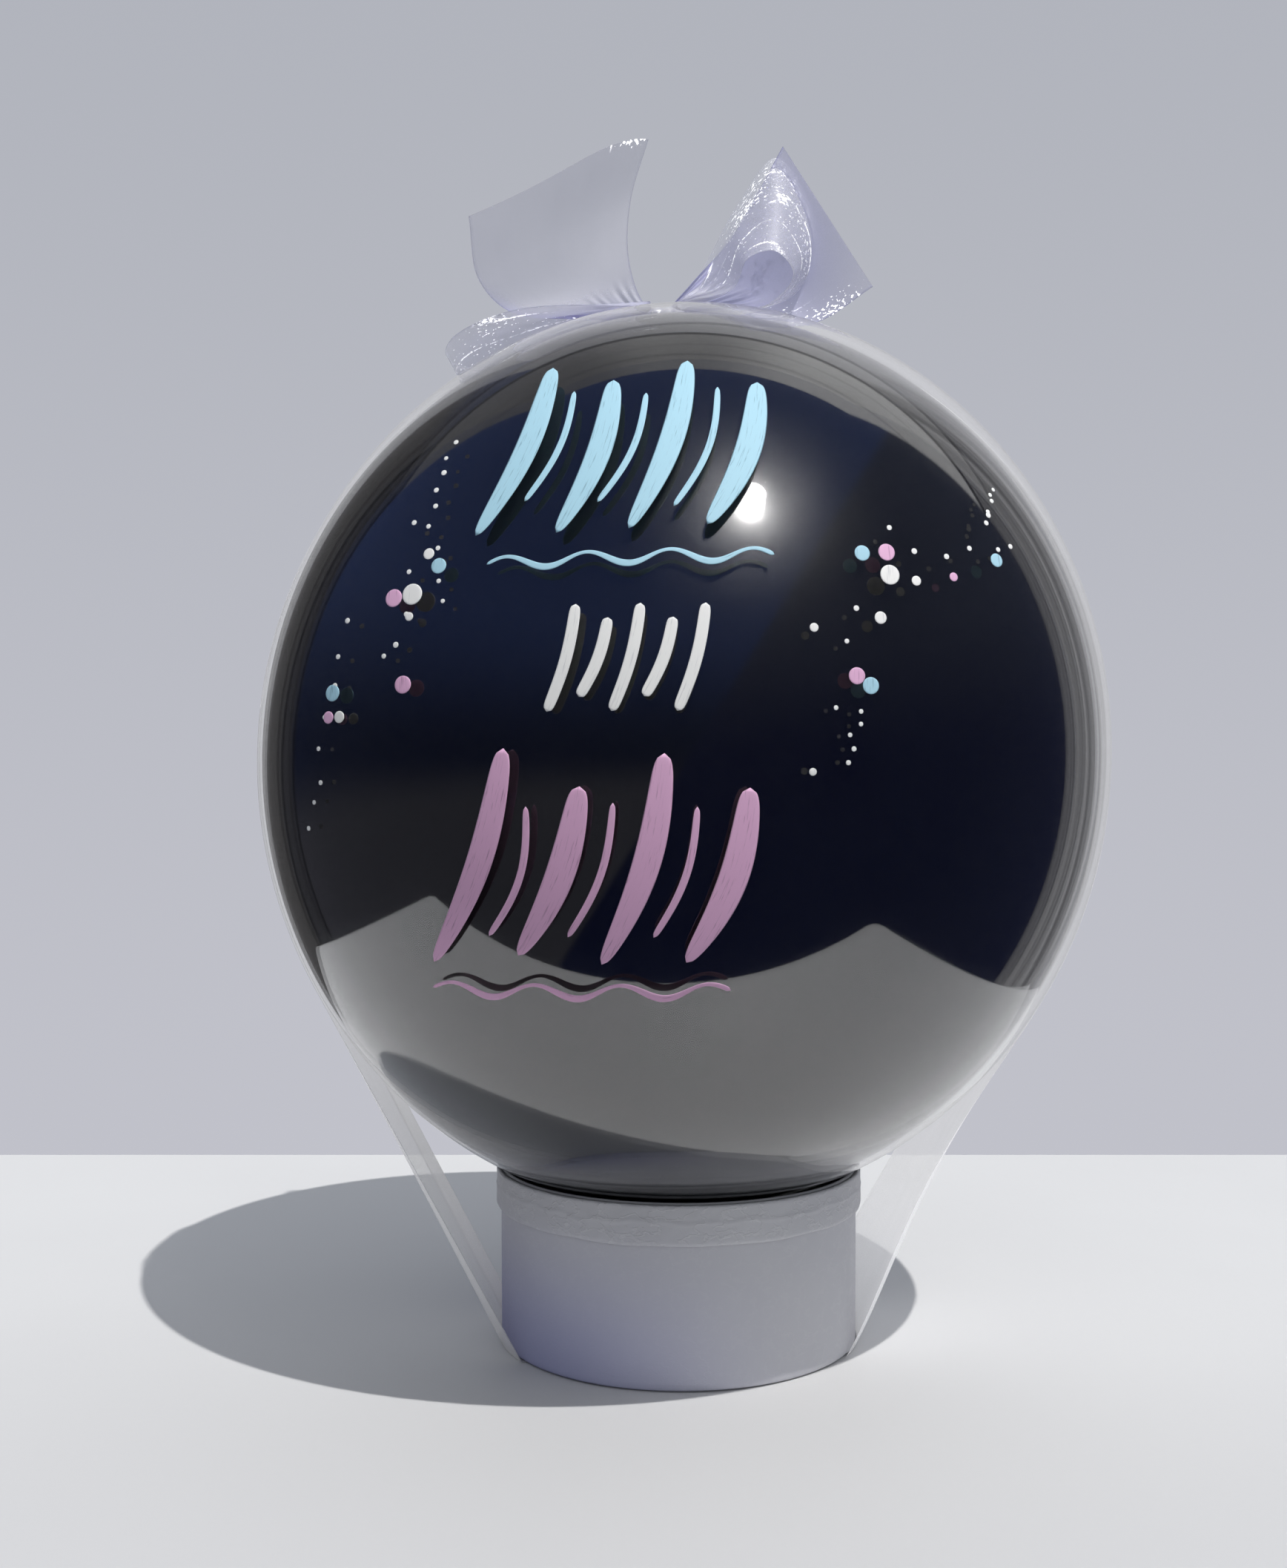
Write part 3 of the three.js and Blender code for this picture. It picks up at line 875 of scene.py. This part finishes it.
# %% Bow strips
def smooth_curve(corners, share):
    """Centripetal Catmull-Rom curve: between two corners, a cubic whose slopes at both ends come
    from the neighbouring corners, weighted by the square roots of their distances."""
    p = np.array(corners, float)
    p = np.vstack([2 * p[0] - p[1], p, 2 * p[-1] - p[-2]])
    place = np.clip(share * (len(corners) - 1), 0, len(corners) - 1 - 1e-9)
    i = place.astype(int)
    w = (place - i)[:, None]
    p0, p1, p2, p3 = p[i], p[i + 1], p[i + 2], p[i + 3]
    d0, d1, d2 = (np.sqrt(np.linalg.norm(b - a, axis=1, keepdims=True))
                  for a, b in ((p0, p1), (p1, p2), (p2, p3)))
    m1 = ((p1 - p0) / d0 - (p2 - p0) / (d0 + d1) + (p2 - p1) / d1) * d1
    m2 = ((p2 - p1) / d1 - (p3 - p1) / (d1 + d2) + (p3 - p2) / d2) * d1
    return p1 + m1 * w + (3 * (p2 - p1) - 2 * m1 - m2) * w ** 2 + (2 * (p1 - p2) + m1 + m2) * w ** 3


BOW_EDGES = {
    "left_tail": (((-12, 20, 555), (-54, 19, 552), (-92, 19, 555), (-109, 13, 571), (-114, 8, 604)),
                  ((-8, 28, 559), (-18, 31, 563), (-27, 38, 590), (-26, 42, 624), (-16, 40, 658))),
    "left_loop": (((-15, 17, 559), (-91, 6, 552), (-124, 12, 538), (-127, 15, 530),
                   (-112, 16, 523), (-55, 18, 543), (-15, 19, 552)),
                  ((-15, 31, 559), (-84, 88, 530), (-116, 98, 513), (-119, 99, 505),
                   (-104, 97, 500), (-52, 62, 533), (-15, 31, 552))),
    "right_loop": (((1, 18, 559), (30, 1, 563), (37, -4, 577), (52, -5, 581),
                    (62, 0, 570), (50, 5, 556), (1, 19, 552)),
                   ((1, 31, 560), (13, 58, 586), (37, 66, 632), (58, 66, 657),
                    (80, 70, 625), (77, 64, 584), (1, 32, 552))),
    "right_tail": (((-4, 29, 560), (12, 44, 582), (31, 52, 606), (61, 56, 660)),
                   ((2, 22, 556), (40, 32, 553), (77, 34, 553), (109, 30, 572))),
}


def bow_strip(edges, crown, bulge, rows, columns):
    """The strip between two edges, crowned along its normals by a parabola across and a sine along.
    A bulge lengthens the free end, most of all near its second edge. Returns the grid with its
    shares along and across."""
    along = np.linspace(0, 1, rows)
    over = np.linspace(0, 1, columns)
    first, second = (smooth_curve(edge, along) for edge in edges)
    grid = first[:, None] * (1 - over)[None, :, None] + second[:, None] * over[None, :, None]
    hump = crown * 4 * over * (1 - over) * np.sin(math.pi * along)[:, None]
    lengthwise = np.gradient(grid, axis=0)
    lengthwise /= np.maximum(np.linalg.norm(lengthwise, axis=-1, keepdims=True), 1e-9)
    longer = bulge * np.sin(math.pi * over ** 2.6) * smooth_rise(0.6, 1, along)[:, None]
    grid = grid + surface_normals(grid) * hump[..., None] + lengthwise * longer[..., None]
    return grid, along[:, None], over[None]


def pleat_pattern(over, count, rng):
    """Rounded pleats across the strip: cosines of nearby widths, from -1 to 1."""
    waves = [np.cos(2 * math.pi * (count * f * over + p))
             for f, p in zip((1, 1.37, 0.61), rng.random(3))]
    return (waves[0] + 0.6 * waves[1] + 0.5 * waves[2]) / 2.1


# %% [markdown]
# Painted glints and dense cloth sit in patches, so each strip lists its own as soft spots: place
# along and across the strip, how far the spot reaches both ways, and its strength.

# %% Spots on a strip
PAINTED_GLINTS = {
    "left_tail": ((1.0, 0.93, 0.03, 0.11, 2.2), (0.30, 0.05, 0.12, 0.05, 0.9)),
    "left_loop": ((0.30, 0.30, 0.25, 0.30, 0.3), (0.55, 0.10, 0.16, 0.10, 0.55),
                  (0.22, 0.15, 0.07, 0.15, 0.5)),
    "right_loop": ((0.45, 0.60, 0.40, 0.60, 0.50), (0.37, 0.62, 0.06, 0.12, 0.7),
                   (0.62, 0.85, 0.14, 0.10, 0.4)),
    "right_tail": ((0.80, 0.97, 0.18, 0.07, 1.2), (0.55, 0.80, 0.12, 0.12, 0.5)),
}
DENSE = {
    "left_tail": ((0.35, 0.0, 0.35, 0.10, 0.22), (0.22, 0.3, 0.2, 0.5, 0.14)),
    "left_loop": ((0.2, 0.5, 0.3, 0.6, 0.10), (0.2, 0.2, 0.2, 0.4, 0.10)),
    "right_loop": ((0.4, 0.5, 0.4, 0.6, 0.05),),
    "right_tail": ((0.6, 0.3, 0.9, 0.9, 0.28),),
}


def spots(along, over, table):
    """A sum of bells: each falls off with the square of the distance in its own reaches."""
    total = 0 * (along + over)
    for a, b, reach_a, reach_b, strength in table:
        total = total + strength * np.exp(-((along - a) / reach_a) ** 2 - ((over - b) / reach_b) ** 2)
    return total


# %% Bow pieces
BOW_PLEATS = 10
SMOOTH_FROM = 70.0
KNOT_COVER = 0.22
PLEATED = {"left_tail": 0.7, "left_loop": 1.0, "right_loop": 1.0, "right_tail": 0.9}
BOW_COLUMNS = 90
# Crown and bulge in millimetres, rows of the grid, and flat length in millimetres.
BOW_SHAPES = {"left_tail": (4.0, 6.0, 130, 116), "left_loop": (2.0, 0.0, 180, 234),
              "right_loop": (3.0, 0.0, 200, 210), "right_tail": (4.0, 0.0, 130, 106)}
rng = np.random.default_rng(41)
for strip, (crown, bulge, rows, length) in BOW_SHAPES.items():
    grid, along, over = bow_strip(BOW_EDGES[strip], crown, bulge, rows, BOW_COLUMNS)
    depth = PLEATED[strip] * gather_depth(grid, RIBBON_WIDTH, BOW_PLEATS, SMOOTH_FROM)
    marks = {"cover": cover_mark(grid, RIBBON_WIDTH, KNOT_COVER) + spots(along, over, DENSE[strip]),
             "glint": spots(along, over, PAINTED_GLINTS[strip])}
    grid = grid + surface_normals(grid) * (depth * pleat_pattern(over, BOW_PLEATS, rng))[..., None]
    finish = lightened_loop_finish if strip.endswith("loop") else tail_finish
    piece = make_piece("bow_" + strip, grid, grid_faces(rows, BOW_COLUMNS), finish,
                       flat_lengths(grid, RIBBON_WIDTH), marks)
    as_cloth(piece)
    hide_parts("ribbon_bow")

# %% [markdown]
# The knot is the ribbon pulled once round itself: a small round bundle with pleats running over it.

# %% Knot
KNOT_HALF = np.array([13.0, 12.0, 5.4])
KNOT_RING = 72
KNOT_PLEATS = 9
turns = np.linspace(0, math.pi, 60)[1:-1, None]
around = full_turn(KNOT_RING)[None]
swell = 1 + 0.07 * np.cos(KNOT_PLEATS * turns + 0.6 * np.sin(around)) * np.sin(turns)
ball = np.stack([np.cos(turns) + 0 * around, np.sin(turns) * np.cos(around),
                 np.sin(turns) * np.sin(around)], -1)
knot_grid = KNOT + ball * swell[..., None] * KNOT_HALF
knot_flat = np.stack(np.broadcast_arrays(around * KNOT_HALF[1], turns * KNOT_HALF[0]), -1) * MM
knot_uv = np.concatenate([knot_flat.reshape(-1, 2), knot_flat[[0, -1]].mean(1)])
# The knot has painted glints all over it.
knot_marks = {"cover": np.full(len(knot_uv), 0.25), "glint": np.full(len(knot_uv), 0.5)}
knot = make_piece("bow_knot", closed_tube(knot_grid), tube_faces(*knot_grid.shape[:2]), lightened_loop_finish,
                  knot_uv, knot_marks)
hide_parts("ribbon_bow")

# %% [markdown]
# ## Floor, light and studio
# The balloon is a dark mirror, so its look is mostly what is round it. It stands on a pale floor
# sheet with rounded corners, whose outline shows in the lower half of the bubble. Its colour has
# painted shade: it is a little darker towards the front.

# %% Floor outline
FLOOR_CORNERS = np.array([(-636, -325), (395, -383), (530, 438), (-650, 438)], float)
FLOOR_ROUND = 34.0
FLOOR_THICK = 16.0


def rounded_outline(corners, radius, steps=12):
    """Each corner is replaced by a quadratic arc between points one radius away along both sides."""
    before, after = np.roll(corners, 1, 0) - corners, np.roll(corners, -1, 0) - corners
    before *= radius / np.linalg.norm(before, axis=1, keepdims=True)
    after *= radius / np.linalg.norm(after, axis=1, keepdims=True)
    t = np.linspace(0, 1, steps)[None, :, None]
    return (corners[:, None] + before[:, None] * (1 - t) ** 2 + after[:, None] * t ** 2).reshape(-1, 2)


outline = rounded_outline(FLOOR_CORNERS, FLOOR_ROUND)
middle = outline.mean(0)
rim_profile = ((1 / 60, 0.0), (0.4, 0.0), (0.9, 0.0), (0.996, 0.0), (0.999, -0.8), (1.0, -2.2),
               (1.0, 2 - FLOOR_THICK), (0.998, -FLOOR_THICK), (0.4, -FLOOR_THICK),
               (1 / 60, -FLOOR_THICK))
floor_rings = np.stack([np.column_stack([middle + (outline - middle) * s, np.full(len(outline), z)])
                        for s, z in rim_profile])
print("floor, mm:", np.ptp(outline, axis=0).round())

# %% Floor piece
floor_finish, wire, shader = new_material("pale_floor", IOR=1.45)
place = object_place(wire)
pale = place.noise(6.0, 3.0).tint(rgb(0.64, 0.64, 0.645), rgb(0.67, 0.67, 0.675))
# Painted shade: the floor's colour is darker towards the front.
front_shade = place.part("Y").ramp(0.15, -0.33)
feed(shader, Base_Color=front_shade.tint(pale, rgb(0.585, 0.585, 0.595)),
     Roughness=0.5 + 0.08 * place.noise(300.0))
floor_faces = [face[::-1] for face in tube_faces(*floor_rings.shape[:2])]
floor = new_thing("floor", closed_tube(floor_rings), floor_faces, floor_finish)
print("floor faces:", len(floor_faces))

# %% [markdown]
# Three distant lamps light it. The key gives the shadow on the floor, a second one, seen only in
# gloss, sets the highlight on the bubble, and a very wide soft one fills the shade. A renderer takes
# clear film for an opaque thing when it looks for a lamp, so the film is left out of what can block
# the second one.

# %% Lamps
def sun_lamp(name, towards, strength, spread, colour):
    """A distant lamp that shines from a direction; spread is its width in the sky, in degrees."""
    data = bpy.data.lights.new(name, "SUN")
    data.energy = strength
    data.angle = math.radians(spread)
    data.color = colour
    lamp = bpy.data.objects.new(name, data)
    lamp.rotation_euler = Vector(towards).to_track_quat("Z", "Y").to_euler()
    scene.collection.objects.link(lamp)
    return lamp


key = sun_lamp("key", (0.274, -0.380, 0.884), 2.77, 0.6, (1.0, 0.985, 0.96))
key.visible_glossy = False
gleam = sun_lamp("gleam", (0.24, -0.48, 0.84), 2.75, 5.0, (1.0, 0.985, 0.96))
gleam.visible_diffuse = False
fill = sun_lamp("fill", (0.30, -0.55, 0.78), 0.97, 130, (0.93, 0.97, 1.0))
fill.visible_glossy = False
fill.visible_transmission = False

past_film = bpy.data.collections.new("past_film")
past_film.objects.link(film)
past_film.collection_objects[0].light_linking.link_state = "EXCLUDE"
gleam.light_linking.blocker_collection = past_film
print("lamps:", [lamp.name for lamp in (key, gleam, fill)])

# %% [markdown]
# The studio is a world shader on the direction that a ray leaves in. The bearing and the slope split
# it into a pale screen behind with a grey strip above it, ribbed panels at its right, two narrow dark
# ones at its left, a dim blue overhead and a dark side. These are what the bubble mirrors. Matt things
# are lit by a plain dome instead, pale behind and dim in front, and the camera itself sees one plain
# pale backdrop.

# %% Directions of the studio
world = bpy.data.worlds.new("studio")
scene.world = world
world.use_nodes = True
wire = Wire(world.node_tree)
direction = wire.node("ShaderNodeTexCoord", out="Generated")
x, y, z = (direction.part(axis) for axis in "XYZ")
DEGREE = math.pi / 180
bearing = wire.maths("ARCTAN2", x, y)
slope = wire.maths("DIVIDE", z, wire.maths("MAXIMUM", y, 0.01))


def between(value, low, high, soft):
    """1 where a value lies between two limits, with soft ends."""
    return value.ramp(low - soft, low + soft) * value.ramp(high + soft, high - soft)


# %% In front and overhead
OVERHEAD_EDGE = 0.683
overhead = z.ramp(0.03, 0.55).tint(rgb(0.006, 0.010, 0.034), rgb(0.034, 0.056, 0.158))
left_front = z.ramp(-0.16, 0.03).tint(rgb(0.058, 0.058, 0.072), overhead)
dark_side = z.ramp(0.0, 0.5).tint(rgb(0.005, 0.008, 0.040), rgb(0.035, 0.042, 0.075))
front = (x - OVERHEAD_EDGE * z).ramp(-0.01, 0.03).tint(left_front, dark_side)
print("studio nodes with the front:", len(world.node_tree.nodes))

# %% Panels at the two sides
SCREEN_LEFT, SCREEN_RIGHT = -25 * DEGREE, 32 * DEGREE
PANEL_LEFT, PANEL_JOINT, RIBS_RIGHT = -54.5 * DEGREE, -45 * DEGREE, 59.5 * DEGREE
ribs = wire.node("ShaderNodeCombineXYZ", (), {"X": bearing}).noise(15.0, 2.0).ramp(0.35, 0.65)
right_side = bearing.ramp(RIBS_RIGHT, RIBS_RIGHT + 0.008).tint(
    ribs.tint(rgb(0.10, 0.10, 0.11), rgb(0.46, 0.46, 0.48)), front)
panel = between(bearing, PANEL_LEFT, SCREEN_LEFT, 0.004) * z.ramp(0.75, 0.6)
panel_tone = bearing.ramp(PANEL_JOINT + 0.035, PANEL_JOINT).tint(
    rgb(0.085, 0.083, 0.085), rgb(0.05, 0.05, 0.058))
panel_joints = (between(bearing, PANEL_JOINT - 0.017, PANEL_JOINT + 0.017, 0.006)
                + between(bearing, PANEL_LEFT, PANEL_LEFT + 0.03, 0.006))
left_side = panel.tint(front, panel_joints.tint(panel_tone, rgb(0.008, 0.008, 0.010)))
sides = bearing.ramp(-0.02, 0.02).tint(left_side, right_side)
print("studio nodes with the sides:", len(world.node_tree.nodes))

# %% Screen behind and the strip above it
SCREEN_TOP, STRIP_JOINT, STRIP_END = 1.19, 2.08, 3.2
dimmer = z.ramp(0.2, 0.8) * x.ramp(0.25, -0.35)
screen_tone = dimmer.tint(rgb(0.60, 0.605, 0.64), rgb(0.32, 0.32, 0.345))
low_part = between(bearing, SCREEN_LEFT, SCREEN_RIGHT, 0.01).tint(sides, screen_tone)
strip_joints = (between(slope, SCREEN_TOP, SCREEN_TOP + 0.08, 0.015)
                + 0.35 * between(slope, STRIP_JOINT, STRIP_JOINT + 0.1, 0.03))
strip_left = x.ramp(-0.26, -0.04).tint(rgb(0.17, 0.17, 0.18), rgb(0.35, 0.35, 0.355))
strip_pale = x.ramp(0.05, 0.32).tint(strip_left, rgb(0.80, 0.80, 0.805))
strip_tone = strip_joints.tint(strip_pale, rgb(0.03, 0.03, 0.035))
over_screen = slope.ramp(SCREEN_TOP - 0.01, SCREEN_TOP + 0.01).tint(low_part, front)
in_strip = between(slope, SCREEN_TOP, STRIP_END, 0.02) * between(bearing, PANEL_LEFT, RIBS_RIGHT, 0.02)
studio = in_strip.tint(over_screen, strip_tone)
print("studio nodes with the screen:", len(world.node_tree.nodes))

# %% Dome for matt things and backdrop for the camera
dome = y.ramp(-0.4, 0.4).tint(rgb(0.095, 0.10, 0.115), rgb(0.405, 0.43, 0.49))
mirrored = wire.node("ShaderNodeLightPath", out="Is Singular Ray")
height = wire.maths("ARCSINE", z)
backdrop = height.ramp(-14 * DEGREE, 28 * DEGREE).tint(rgb(0.53, 0.535, 0.59), rgb(0.44, 0.455, 0.505))
seen = wire.node("ShaderNodeLightPath", out="Is Camera Ray")
background = world.node_tree.nodes["Background"]
around = mirrored.tint(dome, studio)
wire.tree.links.new(seen.tint(around, backdrop).socket, background.inputs["Color"])
scene.view_settings.view_transform = "Standard"
print("studio nodes in all:", len(world.node_tree.nodes))
